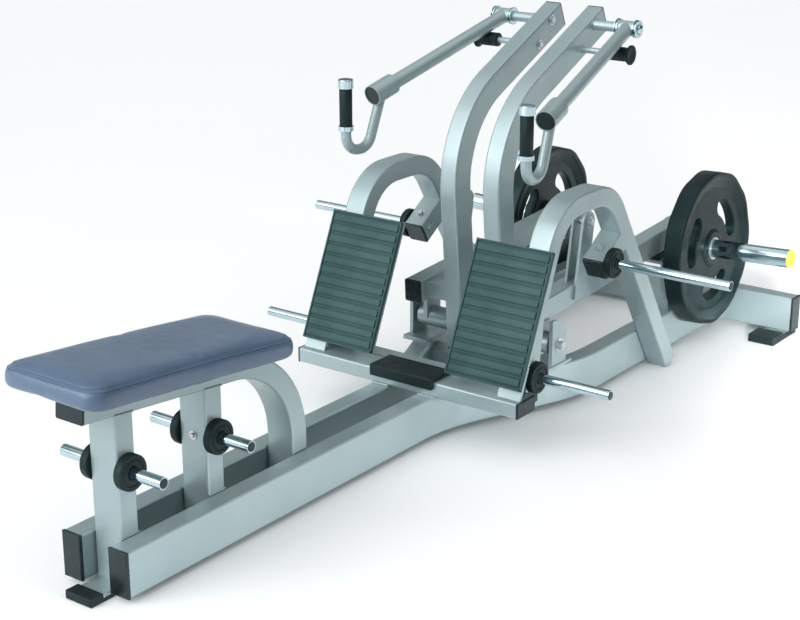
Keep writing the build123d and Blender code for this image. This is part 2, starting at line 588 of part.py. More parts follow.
j_tube = sweep(j_plane * Circle(J_R), path=j_path)
j_tube -= rod_between(arm_root, socket_end, SOCKET_R)
j_tube = sorted(j_tube.solids(), key=lambda s: -s.volume)[0]
add_pair("handle_arm", handle)
add_pair("handle_hook", j_tube)
handle_plug = rod_between((socket_end - unit * 16), (socket_end - unit * 3), SOCKET_R - 2)
add_pair("handle_plug", handle_plug)


def upright(z0, z1, outer, inner):
    """Sleeve around the upright part of the hook."""
    return Pos(GRIP_X, GRIP_Y, (z0 + z1) / 2) * (Cylinder(outer, z1 - z0) - Cylinder(inner, z1 - z0))


GRIP_LOW, UPPER_RING_H, LOWER_RING_H = 711.0, 22.0, 11.0
grip = upright(GRIP_LOW, GRIP_TOP - UPPER_RING_H, 16, J_R)
add_pair("handle_grip", grip)
lower_ring = upright(GRIP_LOW - LOWER_RING_H, GRIP_LOW, 19, J_R)
upper_ring = Pos(GRIP_X, GRIP_Y, GRIP_TOP - UPPER_RING_H / 2) * Cylinder(19, UPPER_RING_H) - j_tube
upper_ring = fillet(upper_ring.edges().filter_by(GeomType.CIRCLE).sort_by(Axis.Z)[-1], 3.0)
add_pair("grip_rings", group(lower_ring, upper_ring))


# ---- weight plates ---------------------------------------------------------------------------------
def weight_plate():
    """Rubber-coated plate with twelve flats, a sunk web and three hand holes."""
    flat_r = WEIGHT_R + 4
    rim = extrude(RegularPolygon(flat_r, 12, rotation=0), WEIGHT_T)
    rim = fillet(rim.edges().filter_by(Axis.Z), 120.0)
    rim = chamfer(rim.faces().sort_by(Axis.Z)[-1].edges(), 6.0)
    rim = chamfer(rim.faces().sort_by(Axis.Z)[0].edges(), 6.0)
    hub_sink, sink = 6.0, 12.0
    for z in (0, WEIGHT_T - hub_sink):
        rim -= Pos(0, 0, z) * extrude(Circle(178), hub_sink)
    for z in (0, WEIGHT_T - sink):
        rim -= Pos(0, 0, z) * extrude(Circle(178) - Circle(56), sink)
    for angle in (40, 160, 280):
        slot = SlotArc(CenterArc((0, 0), HOLE_R, angle - HOLE_SWEEP / 2, HOLE_SWEEP), HOLE_W)
        rim -= extrude(slot, WEIGHT_T)
    rim -= extrude(Circle(SLEEVE_R + RUNNING), WEIGHT_T)
    return SLEEVE_TURN * Pos(WEIGHT_X, SLEEVE_Y, SLEEVE_Z) * Rot(0, 90, 0) * Rot(0, 0, 90) * rim


add_pair("weight_plate", weight_plate())


# ---- fasteners ------------------------------------------------------------------------------------
def hex_bolt(point, direction, head=9.0, height=6.0):
    """Bolt head on a washer, standing on a face."""
    plane = Plane(origin=point, z_dir=direction)
    washer_part = extrude(plane * Circle(head + 4), 2)
    head_part = extrude(plane.offset(2) * RegularPolygon(head, 6), height)
    return fillet((washer_part + head_part).edges().group_by(Axis((0, 0, 0), direction))[-1], 1.0)


across_stub = (0, -sin(radians(HOOP_LEAN)), cos(radians(HOOP_LEAN)))
stub_mid = [a + 40 * d for a, d in zip(stub_start, stub_dir)]
top_point = tuple(a + STUB_H / 2 * n for a, n in zip(stub_mid, across_stub))
side_point = (HOOP_X - STUB_W / 2, *HORN_YZ)
stub_bolts = [both(hex_bolt(top_point, across_stub)), both(hex_bolt(side_point, (-1, 0, 0)))]
rod_screw = hex_bolt((0, POST_Y[1] - POST_D / 2, ROD_Z[1]), (0, -1, 0), head=6.0, height=5.0)
add("frame_bolts", group(rod_screw, *stub_bolts, both(nut + washer)))

lug_inner_x = ARM_OUTER_X - 29
lug_outer_x = ARM_OUTER_X + LUG_T
lug_pin = rod(lug_inner_x - 3, lug_outer_x, *LUG_TOP, 8)
lug_head = hex_bolt((lug_outer_x, *LUG_TOP), (1, 0, 0), head=11.0, height=7.0)
lever_face = LEVER_X - LEVER_W / 2
axle_head = hex_bolt((lever_face, HANDLE_Y, HANDLE_Z), (-1, 0, 0), head=10.0, height=5.0)
bumper_head = hex_bolt((lever_face, BUMPER_Y, BUMPER_Z), (-1, 0, 0), head=9.0, height=5.0)
add_pair("lever_bolts", group(lug_pin + lug_head, axle_head, bumper_head))


# ---- export --------------------------------------------------------------------------------------
os.makedirs("parts", exist_ok=True)
for name, shape in nodes.items():
    export_step(Pos(0, -MID_Y, 0) * shape, f"parts/{name}.step")
low = min(shape.bounding_box().min.Y for shape in nodes.values())
high = max(shape.bounding_box().max.Y for shape in nodes.values())
print("nodes", len(nodes), "length", round(high - low, 2), "middle", round((high + low) / 2, 2))
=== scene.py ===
"""Looks of the seated row machine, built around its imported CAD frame. Metres, +Z up."""

import json
import math

import bmesh
import bpy
from mathutils import Matrix, Vector
from mathutils.bvhtree import BVHTree


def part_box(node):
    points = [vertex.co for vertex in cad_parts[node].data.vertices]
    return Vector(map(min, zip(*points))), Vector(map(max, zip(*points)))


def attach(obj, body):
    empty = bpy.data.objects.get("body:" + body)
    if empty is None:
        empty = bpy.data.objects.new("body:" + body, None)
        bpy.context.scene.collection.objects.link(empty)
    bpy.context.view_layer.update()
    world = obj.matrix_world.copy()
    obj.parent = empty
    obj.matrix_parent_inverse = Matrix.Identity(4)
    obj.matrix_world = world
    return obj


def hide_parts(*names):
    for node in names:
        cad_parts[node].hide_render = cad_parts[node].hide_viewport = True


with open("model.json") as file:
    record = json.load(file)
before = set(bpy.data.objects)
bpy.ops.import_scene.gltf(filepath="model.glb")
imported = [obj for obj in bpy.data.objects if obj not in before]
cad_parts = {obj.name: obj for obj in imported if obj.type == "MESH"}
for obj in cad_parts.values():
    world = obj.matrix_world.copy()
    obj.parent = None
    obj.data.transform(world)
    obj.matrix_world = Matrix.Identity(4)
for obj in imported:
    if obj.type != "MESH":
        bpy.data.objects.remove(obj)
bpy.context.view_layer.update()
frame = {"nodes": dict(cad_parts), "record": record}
nodes = frame["nodes"]

SIDES = (("right", 1.0), ("left", -1.0))
MM = 0.001
ACROSS = Vector((1, 0, 0))


# ---- materials ----------------------------------------------------------------------------
def set_ranges(map_range, source, target):
    """Sets the two ranges of a Map Range node, each as (lowest, highest)."""
    for key, number in zip(("From Min", "From Max", "To Min", "To Max"), (*source, *target)):
        map_range.inputs[key].default_value = number


class Look:
    """A procedural material: a Principled shader, with texture nodes added one by one."""

    def __init__(self, name, metallic=0.0, **fixed):
        self.material = bpy.data.materials.new(name)
        self.material.use_nodes = True
        self.tree = self.material.node_tree
        self.shader = self.tree.nodes["Principled BSDF"]
        self.place = self.node("ShaderNodeTexCoord").outputs["Object"]
        self.normal = None
        self.shader.inputs["Metallic"].default_value = metallic
        for key, value in fixed.items():
            socket = key.replace("_", " ").title().replace("Ior", "IOR")
            self.shader.inputs[socket].default_value = value

    def node(self, kind, **values):
        made = self.tree.nodes.new(kind)
        for key, value in values.items():
            made.inputs[key].default_value = value
        return made

    def link(self, source, target):
        self.tree.links.new(source, target)

    def at(self, stretch):
        """Object coordinates, scaled along each axis."""
        if stretch == (1, 1, 1):
            return self.place
        mapping = self.node("ShaderNodeMapping", Scale=stretch)
        self.link(self.place, mapping.inputs["Vector"])
        return mapping.outputs["Vector"]

    def noise(self, scale, detail=3.0, rough=0.55, stretch=(1, 1, 1)):
        made = self.node("ShaderNodeTexNoise", Scale=scale, Detail=detail, Roughness=rough)
        self.link(self.at(stretch), made.inputs["Vector"])
        return made.outputs["Fac"]

    def cells(self, scale, feature="F1", stretch=(1, 1, 1)):
        made = self.node("ShaderNodeTexVoronoi", Scale=scale)
        made.feature = feature
        self.link(self.at(stretch), made.inputs["Vector"])
        return made.outputs["Distance"]

    def span(self, value, low, high, start=0.0, end=1.0):
        """The value, moved from the range start to end into the range low to high."""
        made = self.node("ShaderNodeMapRange")
        set_ranges(made, (start, end), (low, high))
        self.link(value, made.inputs["Value"])
        return made.outputs["Result"]

    def blend(self, factor, a, b):
        """Colour a where the factor is 0 and colour b where it is 1; each is a colour or an output."""
        made = self.node("ShaderNodeMix")
        made.data_type = "RGBA"
        sockets = [s for s in made.inputs if s.type == "RGBA"]
        self.link(factor, made.inputs["Factor"])
        for socket, colour in zip(sockets, (a, b)):
            if isinstance(colour, tuple):
                socket.default_value = (*colour, 1.0)
            else:
                self.link(colour, socket)
        return next(s for s in made.outputs if s.type == "RGBA")

    def colour(self, source):
        self.link(source, self.shader.inputs["Base Color"])
        return self

    def roughness(self, value, low, high, start=0.3, end=0.7):
        self.link(self.span(value, low, high, start, end), self.shader.inputs["Roughness"])
        return self

    def bump(self, height, depth, strength=1.0):
        """Surface relief of that depth in metres, on top of the relief added before."""
        made = self.node("ShaderNodeBump", Strength=strength, Distance=depth)
        self.link(height, made.inputs["Height"])
        if self.normal:
            self.link(self.normal, made.inputs["Normal"])
        self.normal = made.outputs["Normal"]
        self.link(self.normal, self.shader.inputs["Normal"])
        return self


def powder_coat():
    """Grey-green metallic powder coat: fine flake, orange peel, faint handling marks."""
    look = Look("silver_powder_coat", metallic=0.5, Coat_Weight=0.3, Coat_Roughness=0.22)
    drift = look.span(look.noise(5, 4), 0, 1, 0.35, 0.65)
    broad = look.blend(drift, (0.29, 0.385, 0.40), (0.34, 0.43, 0.445))
    glitter = look.span(look.cells(1400), 0, 1, 0.1, 0.9)
    flake = look.blend(glitter, (0.50, 0.59, 0.61), (0.26, 0.33, 0.35))
    look.colour(look.blend(look.span(look.noise(900, 1), 0.1, 0.45), broad, flake))
    look.roughness(look.noise(18, 5, 0.65), 0.32, 0.46)
    look.bump(look.noise(420, 2), 0.00012, 0.35)
    return look.bump(look.noise(60, 2), 0.00025, 0.25)


def chrome():
    """Polished chrome with fine turning marks and a few dull patches."""
    look = Look("polished_chrome", metallic=1.0)
    patches = look.span(look.noise(14, 4), 0, 1, 0.35, 0.7)
    look.colour(look.blend(patches, (0.56, 0.70, 0.75), (0.45, 0.58, 0.63)))
    look.roughness(look.noise(30, 6, 0.7, stretch=(6, 1, 1)), 0.05, 0.19)
    return look.bump(look.noise(700, 2, stretch=(4, 0.4, 0.4)), 0.00003, 0.25)


def zinc():
    """Bright zinc plate with a faint crystal pattern."""
    look = Look("zinc_plate", metallic=1.0)
    look.colour(look.blend(look.cells(260), (0.62, 0.66, 0.68), (0.46, 0.50, 0.52)))
    look.roughness(look.noise(120, 4), 0.20, 0.38)
    return look.bump(look.noise(500, 3), 0.00005, 0.3)


def rubber(name, dark, light, low=0.42, high=0.6, grain=0.00018):
    """Moulded rubber: pebble grain with a little dust in the hollows."""
    look = Look(name, Specular_Ior_Level=0.28, Specular_Tint=(0.6, 0.95, 1.0, 1.0))
    dust = look.span(look.noise(9, 6, 0.65), 0, 1, 0.42, 0.72)
    look.colour(look.blend(dust, dark, light))
    look.roughness(look.noise(35, 5), low, high)
    look.bump(look.cells(650, "SMOOTH_F1"), grain, 0.5)
    return look.bump(look.noise(1300, 2), grain * 0.6, 0.35)


def plastic(name, dark, light, low=0.3, high=0.42):
    """Injection-moulded plastic with a spark-eroded texture."""
    look = Look(name, Specular_Ior_Level=0.5, Specular_Tint=(0.65, 0.92, 1.0, 1.0))
    look.colour(look.blend(look.span(look.noise(25, 4), 0, 1, 0.35, 0.7), dark, light))
    look.roughness(look.noise(60, 4), low, high)
    return look.bump(look.noise(1500, 3), 0.00008, 0.4)


def leather():
    """Slate-blue upholstery vinyl: pebbled cells, pores, and soft creases."""
    look = Look("slate_vinyl", Specular_Ior_Level=0.5, Coat_Weight=0.5, Coat_Roughness=0.3, Sheen_Weight=0.08)
    wear = look.span(look.noise(7, 5, 0.6), 0, 1, 0.35, 0.68)
    tone = look.blend(wear, (0.058, 0.112, 0.198), (0.082, 0.146, 0.242))
    pores = look.span(look.cells(420, "DISTANCE_TO_EDGE"), 1, 0, 0.0, 0.12)
    look.colour(look.blend(look.span(pores, 0, 0.45), tone, (0.03, 0.047, 0.075)))
    look.roughness(look.noise(40, 5), 0.36, 0.52)
    look.bump(look.noise(11, 5, 0.6), 0.0022, 0.35)
    look.bump(look.cells(420, "SMOOTH_F1"), 0.0004, 0.5)
    return look.bump(look.noise(1500, 2), 0.00012, 0.35)


def plywood():
    """Plywood with long grain under a black stain."""
    look = Look("stained_plywood", Roughness=0.55)
    grain = look.noise(40, 6, 0.65, stretch=(6, 0.6, 6))
    streaks = look.span(grain, 0, 1, 0.35, 0.7)
    look.colour(look.blend(streaks, (0.022, 0.024, 0.025), (0.010, 0.011, 0.012)))
    return look.bump(grain, 0.0003, 0.4)


def bronze():
    """Sintered bronze: dull patches and a fine open grain."""
    look = Look("sintered_bronze", metallic=1.0)
    look.colour(look.blend(look.noise(200, 4), (0.55, 0.36, 0.17), (0.38, 0.24, 0.11)))
    look.roughness(look.noise(90, 4), 0.32, 0.48)
    return look.bump(look.cells(900), 0.00005, 0.4)


LOOKS = {
    "frame_paint": powder_coat(),
    "chrome": chrome(),
    "zinc_steel": zinc(),
    "black_rubber": rubber("black_rubber", (0.007, 0.011, 0.012), (0.015, 0.021, 0.023)),
    "black_plastic": plastic("black_plastic", (0.006, 0.009, 0.011), (0.011, 0.016, 0.018), 0.2, 0.34),
    "seat_leather": leather(),
    "plywood": plywood(),
    "yellow_plastic": plastic("yellow_plastic", (0.80, 0.74, 0.05), (0.87, 0.82, 0.11)),
    "bronze": bronze(),
    "tread_rubber": rubber("tread_rubber", (0.028, 0.060, 0.059), (0.044, 0.084, 0.082), 0.36, 0.5),
    "plate_rubber": rubber("plate_rubber", (0.004, 0.011, 0.012), (0.009, 0.019, 0.021), 0.30, 0.44),
}


def dress(piece, look):
    """Gives a piece one of the looks as its only material."""
    piece.data.materials.clear()
    piece.data.materials.append(LOOKS[look].material)


for part in frame["record"]["subparts"]:
    dress(nodes[part["node"]], part["material_slot"])


# ---- mesh helpers --------------------------------------------------------------------------
def new_piece(name, mesh, body, look, smooth_angle=40):
    """A finished mesh as a piece that rides on a body and takes a record slot's finish."""
    piece = bpy.data.objects.new(name, mesh)
    bpy.context.scene.collection.objects.link(piece)
    dress(piece, look)
    mesh.shade_smooth()
    mesh.set_sharp_from_angle(angle=math.radians(smooth_angle))
    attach(piece, body)
    return piece


def to_mesh(bm, name):
    """Turns a BMesh into a mesh whose faces point outwards, and frees it."""
    bmesh.ops.recalc_face_normals(bm, faces=bm.faces)
    mesh = bpy.data.meshes.new(name)
    bm.to_mesh(mesh)
    bm.free()
    return mesh


def rounded(points, radius, steps=4):
    """Closed outline with each corner turned into a short curve."""
    out = []
    for i, corner in enumerate(points):
        corner = Vector(corner)
        back = Vector(points[i - 1]) - corner
        ahead = Vector(points[(i + 1) % len(points)]) - corner
        reach = min(radius, back.length * 0.45, ahead.length * 0.45)
        start = corner + back.normalized() * reach
        end = corner + ahead.normalized() * reach
        for step in range(steps + 1):
            t = step / steps
            out.append(start * (1 - t) ** 2 + corner * 2 * t * (1 - t) + end * t * t)
    return out


def turn(bm, outline, centre, axis, steps=64, widen=None):
    """Adds a turned ring: a closed outline of (along the axis, radius) points.

    widen gives, for an angle, a function that changes the radius there.
    """
    axis = Vector(axis).normalized()
    u = Vector((0, 0, 1)) if abs(axis.z) < 0.9 else Vector((0, 1, 0))
    u = (u - axis * u.dot(axis)).normalized()
    v = axis.cross(u)
    rings = []
    for step in range(steps):
        angle = 2 * math.pi * step / steps
        out = u * math.cos(angle) + v * math.sin(angle)
        grow = widen(angle) if widen else (lambda radius: radius)
        rings.append([bm.verts.new(Vector(centre) + axis * a + out * grow(r)) for a, r in outline])
    for step in range(steps):
        one, two = rings[step], rings[(step + 1) % steps]
        for i in range(len(outline)):
            j = (i + 1) % len(outline)
            bm.faces.new((one[i], one[j], two[j], two[i]))


def soft_block(bm, place, x, y, z, radius, segments=3):
    """Adds a box with rounded edges, between two limits on each axis of the given placement."""
    size = [b - a for a, b in (x, y, z)]
    middle = [(a + b) / 2 for a, b in (x, y, z)]
    matrix = place @ Matrix.Translation(middle) @ Matrix.Diagonal((*size, 1))
    made = bmesh.ops.create_cube(bm, size=1, matrix=matrix)
    edges = {e for v in made["verts"] for e in v.link_edges}
    offset = min(radius, min(size) * 0.45)
    bmesh.ops.bevel(bm, geom=list(edges), offset=offset, segments=segments, affect="EDGES", profile=0.5)


def corners(points):
    """Lowest and highest corner of the box around some points."""
    low = Vector([min(p[i] for p in points) for i in range(3)])
    high = Vector([max(p[i] for p in points) for i in range(3)])
    return low, high


def half_box(node, side):
    """Box of the part of a CAD node that lies on one side of the machine."""
    return corners([v.co for v in nodes[node].data.vertices if v.co.x * side > 0])


def inner_end(low, high, sign):
    """Centre of the end that faces the machine's middle, of a round piece that lies across it."""
    return Vector((low.x if sign > 0 else high.x, (low.y + high.y) / 2, (low.z + high.z) / 2))


def islands(node):
    """Box of each separate solid of a CAD node, as (lowest, highest) corners."""
    bm = bmesh.new()
    bm.from_mesh(nodes[node].data)
    bmesh.ops.remove_doubles(bm, verts=bm.verts, dist=1e-6)
    seen, found = set(), []
    for start in bm.verts:
        if start in seen:
            continue
        stack, group = [start], []
        seen.add(start)
        while stack:
            vert = stack.pop()
            group.append(vert.co.copy())
            for edge in vert.link_edges:
                other = edge.other_vert(vert)
                if other not in seen:
                    seen.add(other)
                    stack.append(other)
        found.append(corners(group))
    bm.free()
    return found


def tilted_slab(low, high, angle):
    """Placement, length and thickness of a slab leaning by an angle, from its upright box."""
    dy, dz = high.y - low.y, high.z - low.z
    c, s = math.cos(angle), math.sin(abs(angle))
    length = (dy * c - dz * s) / (c * c - s * s)
    thick = (dz * c - dy * s) / (c * c - s * s)
    place = Matrix.Translation((low + high) / 2) @ Matrix.Rotation(angle, 4, "X")
    return place, length, thick


# ---- seat cushion ----------------------------------------------------------------------------
SEAT_SLOPE = math.radians(-5.5)
SEAT_CORNER, CROWN_CORNER = 38, 14           # corner radii of the base and the crown, in millimetres
VOXEL = 5 * MM
CUSHION_CAP = 7 * MM                         # most that a point moves while the cushion fills
CUSHION_PRESSURE = 2.2
FILL_FRAMES = 20
SEAM_DROP = 14 * MM                          # the seam runs this far below the crown
SEAM_GROOVE, SEAM_HALF = 2.4 * MM, 2.6 * MM  # depth and half width of the groove along it
SIDE_BAND = 22 * MM                          # only points this near the edge belong to the sides
WELT_R, WELT_STEP = 1.5 * MM, 6 * MM
STITCH_R, STITCH_STEP, STITCH_DROP = 0.55 * MM, 3.2 * MM, 6 * MM
# Rings of the cushion from its base to its crown: inset in millimetres, share of the height.
CUSHION_RINGS = (
    (8, 0), (2, 0.08), (1, 0.3), (1, 0.54), (4, 0.68),
    (10, 0.8), (21, 0.89), (42, 0.95), (72, 0.985), (100, 1.0),
)


def cushion_outline(width, length, corner, steps=10):
    """Rounded rectangle in the seat's plane."""
    points = []
    for cx, cy, start in ((1, 1, 0), (-1, 1, 90), (-1, -1, 180), (1, -1, 270)):
        for step in range(steps + 1):
            angle = math.radians(start + 90 * step / steps)
            x = cx * (width / 2 - corner) + corner * math.cos(angle)
            y = cy * (length / 2 - corner) + corner * math.sin(angle)
            points.append((x, y))
    return points


def cushion_blank(width, length, height):
    """Closed starting shape of the cushion, a little smaller than the finished pad."""
    bm = bmesh.new()
    rings = []
    for inset, share in CUSHION_RINGS:
        corner = max(CROWN_CORNER, SEAT_CORNER - inset * 0.4) * MM
        ring = cushion_outline(width - 2 * inset * MM, length - 2 * inset * MM, corner)
        level = share * height
        rings.append([bm.verts.new((x, y, level - height / 2)) for x, y in ring])
    for one, two in zip(rings, rings[1:]):
        for i in range(len(one)):
            j = (i + 1) % len(one)
            bm.faces.new((one[i], one[j], two[j], two[i]))
    bm.faces.new(rings[0])
    bm.faces.new(rings[-1])
    return to_mesh(bm, "cushion_blank")


def fill_with_cloth(piece, pressure, cap):
    """Puffs a closed mesh up with the cloth solver, applies the result and limits each point's travel."""
    scene = bpy.context.scene
    start = [v.co.copy() for v in piece.data.vertices]
    cloth = piece.modifiers.new("fill", "CLOTH")
    cloth.settings.quality = 6
    cloth.settings.tension_stiffness = 20
    cloth.settings.compression_stiffness = 20
    cloth.settings.shear_stiffness = 8
    cloth.settings.bending_stiffness = 12
    cloth.settings.use_pressure = True
    cloth.settings.uniform_pressure_force = pressure
    cloth.settings.effector_weights.gravity = 0
    cloth.point_cache.frame_start = 1
    cloth.point_cache.frame_end = FILL_FRAMES
    for step in range(1, FILL_FRAMES + 1):
        scene.frame_set(step)
    filled = piece.evaluated_get(bpy.context.evaluated_depsgraph_get())
    moved = [v.co.copy() for v in filled.to_mesh().vertices]
    filled.to_mesh_clear()
    piece.modifiers.remove(cloth)
    scene.frame_set(1)
    for vert, old, new in zip(piece.data.vertices, start, moved):
        travel = new - old
        vert.co = old + travel * min(1.0, cap / max(travel.length, 1e-9))


def apply_modifier(piece, kind, **settings):
    """Adds a modifier with these settings and keeps its result as the piece's mesh."""
    modifier = piece.modifiers.new("work", kind)
    for key, value in settings.items():
        setattr(modifier, key, value)
    result = bpy.data.meshes.new_from_object(piece.evaluated_get(bpy.context.evaluated_depsgraph_get()))
    piece.modifiers.remove(modifier)
    piece.data = result


def make_cushion():
    """The filled cushion, fitted to the pad, with a groove for its seam; also its placement and sizes."""
    low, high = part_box("seat_pad")
    place, length, thick = tilted_slab(low, high, SEAT_SLOPE)
    width = high.x - low.x
    mesh = cushion_blank(width, length, thick - 3 * MM)
    piece = bpy.data.objects.new("seat_cushion", mesh)
    bpy.context.scene.collection.objects.link(piece)
    apply_modifier(piece, "REMESH", mode="VOXEL", voxel_size=VOXEL)
    fill_with_cloth(piece, CUSHION_PRESSURE, CUSHION_CAP)
    apply_modifier(piece, "SMOOTH", factor=0.5, iterations=14)
    apply_modifier(piece, "SUBSURF", levels=1)
    seam = thick / 2 - SEAM_DROP
    reach = [max(v.co[i] for v in piece.data.vertices) for i in range(3)]
    lift = min(1.0, (thick / 2 + 1.5 * MM) / reach[2])
    fit = Vector((width / 2 / reach[0], length / 2 / reach[1], lift))
    for vert in piece.data.vertices:
        point = vert.co
        point.x *= fit.x
        point.y *= fit.y
        point.z = max(point.z * fit.z, -thick / 2 + 0.5 * MM)
        groove = math.exp(-(((point.z - seam) / SEAM_HALF) ** 2))
        pull = 1 - SEAM_GROOVE * groove / max(Vector((point.x, point.y)).length, 0.05)
        if abs(point.x) > width / 2 - SIDE_BAND or abs(point.y) > length / 2 - SIDE_BAND:
            point.x *= pull
            point.y *= pull
    piece.data.transform(place)
    return piece, place, width, length, thick, seam


def seam_points(piece, place, width, length, level, spacing):
    """Points around the cushion's side at one height, on its surface, with the outward direction."""
    tree = BVHTree.FromPolygons(
        [v.co.copy() for v in piece.data.vertices], [tuple(p.vertices) for p in piece.data.polygons]
    )
    outline = cushion_outline(width, length, SEAT_CORNER * MM, 24)
    dense = []
    for i, point in enumerate(outline):
        ahead = outline[(i + 1) % len(outline)]
        gap = math.dist(point, ahead)
        count = max(1, round(gap / spacing))
        dense += [
            (point[0] + (ahead[0] - point[0]) * k / count, point[1] + (ahead[1] - point[1]) * k / count)
            for k in range(count)
            if gap > 1e-6
        ]
    found = []
    # A ray runs in from outside the cushion, from each point towards the middle of its width.
    for x, y in dense:
        inner = Vector((max(-1, min(1, x / (width / 2))) * (width / 2 - 60 * MM), y * 0.85, level))
        outer = Vector((x, y, level))
        out = (outer - inner).normalized()
        start = place @ (outer + out * 0.03)
        direction = (place.to_3x3() @ -out).normalized()
        hit, _, _, _ = tree.ray_cast(start, direction)
        if hit:
            found.append((hit, -direction))
    return found


def tube_along(bm, points, radius, sides=8, closed=True, swell=None):
    """Adds a round tube along a list of points. swell gives a factor on the radius for each point."""
    rings = []
    count = len(points)
    for i, point in enumerate(points):
        before = points[i - 1] if closed or i else points[i]
        after = points[(i + 1) % count] if closed or i < count - 1 else points[i]
        along = (after - before).normalized()
        u = along.orthogonal() if abs(along.z) > 0.9 else along.cross(Vector((0, 0, 1))).normalized()
        v = along.cross(u)
        size = radius * (swell(i) if swell else 1)
        ring = []
        for k in range(sides):
            angle = 2 * math.pi * k / sides
            ring.append(bm.verts.new(point + (u * math.cos(angle) + v * math.sin(angle)) * size))
        rings.append(ring)
    for i in range(count if closed else count - 1):
        one, two = rings[i], rings[(i + 1) % count]
        for k in range(sides):
            j = (k + 1) % sides
            bm.faces.new((one[k], one[j], two[j], two[k]))
    if not closed:
        bm.faces.new(rings[0])
        bm.faces.new(rings[-1])


def dress_seat():
    """The cushion, the welt in its seam and a row of stitches below it."""
    cushion, place, width, length, thick, seam = make_cushion()
    dress(cushion, "seat_leather")
    cushion.data.shade_smooth()
    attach(cushion, "frame")
    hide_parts("seat_pad")
    welt_points = seam_points(cushion, place, width, length, seam, WELT_STEP)
    bm = bmesh.new()
    tube_along(bm, [point for point, _ in welt_points], WELT_R)
    new_piece("seat_seam_welt", to_mesh(bm, "seat_seam_welt"), "frame", "seat_leather")
    bm = bmesh.new()
    stitch_line = seam_points(cushion, place, width, length, seam - STITCH_DROP, STITCH_STEP)
    for i in range(0, len(stitch_line) - 2, 2):
        (a, out_a), (b, out_b) = stitch_line[i], stitch_line[i + 1]
        thread = [a + out_a * 0.1 * MM, (a + b) / 2 + out_a * STITCH_R, b + out_b * 0.1 * MM]
        tube_along(bm, thread, STITCH_R, 5, closed=False)
    new_piece("seat_stitching", to_mesh(bm, "seat_stitching"), "frame", "black_plastic")


dress_seat()


# ---- foot plate treads ---------------------------------------------------------------------------
PLATE_LEAN = math.atan2(134.0, 306.0)     # the plates lean back from upright
RIB_COUNT = 12
RIB_HIGH = 4.2 * MM
TREAD_BORDER = 5 * MM


def dress_treads():
    """Ribbed mats: a base, a border, broad ribs across, and a thin ridge between each two of them."""
    for side, sign in SIDES:
        low, high = half_box("foot_treads", sign)
        place, length, thick = tilted_slab(low, high, math.pi / 2 - PLATE_LEAN)
        width = high.x - low.x
        half_w, half_l, top = width / 2, length / 2, thick / 2
        bm = bmesh.new()
        soft_block(bm, place, (-half_w, half_w), (-half_l, half_l), (-top, top - RIB_HIGH), 1.6 * MM)
        for x0, x1, y0, y1 in (
            (-half_w, -half_w + TREAD_BORDER, -half_l, half_l),
            (half_w - TREAD_BORDER, half_w, -half_l, half_l),
            (-half_w, half_w, -half_l, -half_l + TREAD_BORDER),
            (-half_w, half_w, half_l - TREAD_BORDER, half_l),
        ):
            soft_block(bm, place, (x0, x1), (y0, y1), (-top * 0.2, top - 0.6 * MM), 1.3 * MM)
        pitch = (length - 2 * TREAD_BORDER) / RIB_COUNT
        inner = half_w - TREAD_BORDER - 2.2 * MM
        across = (-inner, inner)
        for i in range(RIB_COUNT):
            start = -half_l + TREAD_BORDER + i * pitch
            rib = (start + 0.18 * pitch, start + 0.82 * pitch)
            soft_block(bm, place, across, rib, (0, top), 1.5 * MM)
            if i:
                ridge = (start - 0.055 * pitch, start + 0.055 * pitch)
                soft_block(bm, place, across, ridge, (0, top - 2.2 * MM), 0.6 * MM, 2)
        mesh = to_mesh(bm, "tread")
        tread = new_piece(side + "_foot_tread_mat", mesh, "frame", "tread_rubber", 30)
        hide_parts("foot_treads")


dress_treads()


# ---- weight plates ---------------------------------------------------------------------------------
PLATE_FLATS = 12
CORNER_R = 120 * MM
SLEEVE_TILT = math.radians(2.5)      # the sleeves rise outwards
PLATE_THICK, HUB_SINK, WEB_SINK = 54 * MM, 6 * MM, 12 * MM
HOLE_R, HOLE_HALF, HOLE_SWEEP = 120 * MM, 24 * MM, math.radians(22)
HOLE_ANGLES = (40, 160, 280)
PLATE_BORE, INSERT_R, HUB_R, HUB_FOOT_R = 25.2 * MM, 32 * MM, 46 * MM, 56 * MM
WEB_HOLE_R = 44 * MM                 # the web starts here, inside the hub


def plate_radius(outer, angle):
    """Distance from centre to rim of a twelve-sided plate with rounded corners."""
    part = 2 * math.pi / PLATE_FLATS
    from_corner = (angle + part / 2) % part - part / 2
    across = outer * math.cos(part / 2)
    centre = outer - CORNER_R / math.cos(part / 2)
    limit = math.atan2(CORNER_R * math.sin(part / 2), centre + CORNER_R * math.cos(part / 2))
    if abs(from_corner) < limit:
        inside = CORNER_R ** 2 - (centre * math.sin(from_corner)) ** 2
        return centre * math.cos(from_corner) + math.sqrt(inside)
    return across / math.cos(part / 2 - abs(from_corner))


def kidney(middle_angle, steps=14):
    """Outline of one hand hole, a bent slot with round ends."""
    points = []
    for radius, way in ((HOLE_R + HOLE_HALF, 1), (HOLE_R - HOLE_HALF, -1)):
        end = middle_angle + way * HOLE_SWEEP
        for step in range(steps + 1):
            angle = middle_angle + way * HOLE_SWEEP * (2 * step / steps - 1)
            points.append((radius * math.cos(angle), radius * math.sin(angle)))
        tip = (HOLE_R * math.cos(end), HOLE_R * math.sin(end))
        for step in range(1, steps):
            turned = end + (0 if way > 0 else math.pi) + math.pi * step / steps
            points.append((tip[0] + HOLE_HALF * math.cos(turned), tip[1] + HOLE_HALF * math.sin(turned)))
    return points


def circle(radius, steps=96):
    """Outline of a circle."""
    angles = [2 * math.pi * i / steps for i in range(steps)]
    return [(radius * math.cos(angle), radius * math.sin(angle)) for angle in angles]


